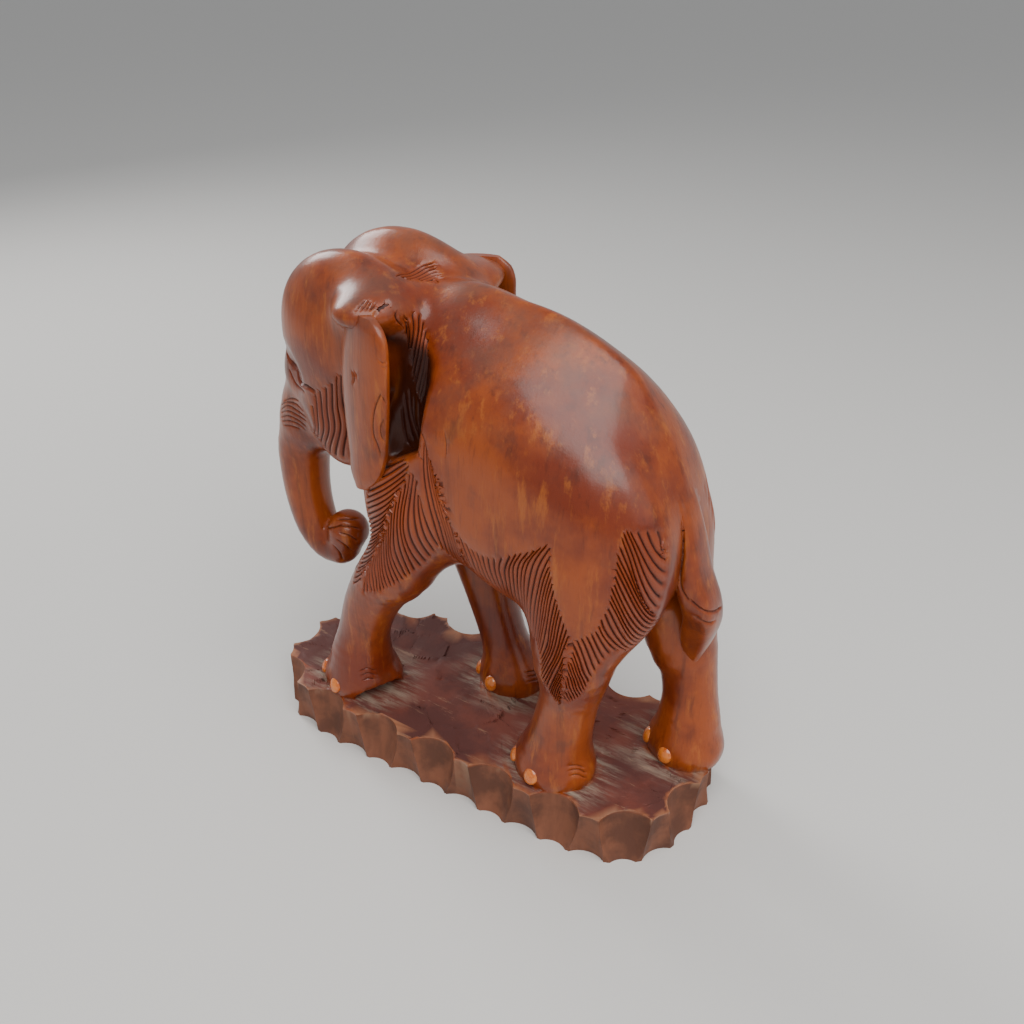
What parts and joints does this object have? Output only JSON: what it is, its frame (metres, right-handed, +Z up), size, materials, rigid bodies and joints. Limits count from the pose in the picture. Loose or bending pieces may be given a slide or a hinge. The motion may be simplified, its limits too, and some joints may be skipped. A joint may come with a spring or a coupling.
{
  "type": "elephant sculpture",
  "caption": "Carved wooden elephant walking with its trunk curled in, on a thick base of the same log with a gouge-cut edge.",
  "frame": {"origin": "middle of the base's underside, at the middle of the box round the whole work", "axes": "+X towards the head and trunk, +Y towards the animal's left, +Z up"},
  "size_m": [0.446, 0.1752, 0.4715],
  "materials": {
    "lacquered_wood": "mottled red-brown lacquer, satin to glossy, dark in the gouge marks",
    "pale_nail": "glossy amber inlay"
  },
  "bodies": {
    "root": {"elephant_and_base": "lacquered_wood", "nail_leftFront_1": "pale_nail", "nail_leftFront_2": "pale_nail", "nail_leftFront_3": "pale_nail", "nail_leftFront_4": "pale_nail", "nail_rightFront_1": "pale_nail", "nail_rightFront_2": "pale_nail", "nail_rightFront_3": "pale_nail", "nail_rightFront_4": "pale_nail", "nail_leftHind_1": "pale_nail", "nail_leftHind_2": "pale_nail", "nail_leftHind_3": "pale_nail", "nail_leftHind_4": "pale_nail", "nail_rightHind_1": "pale_nail", "nail_rightHind_2": "pale_nail", "nail_rightHind_3": "pale_nail", "nail_rightHind_4": "pale_nail"}
  },
  "joints": []
}
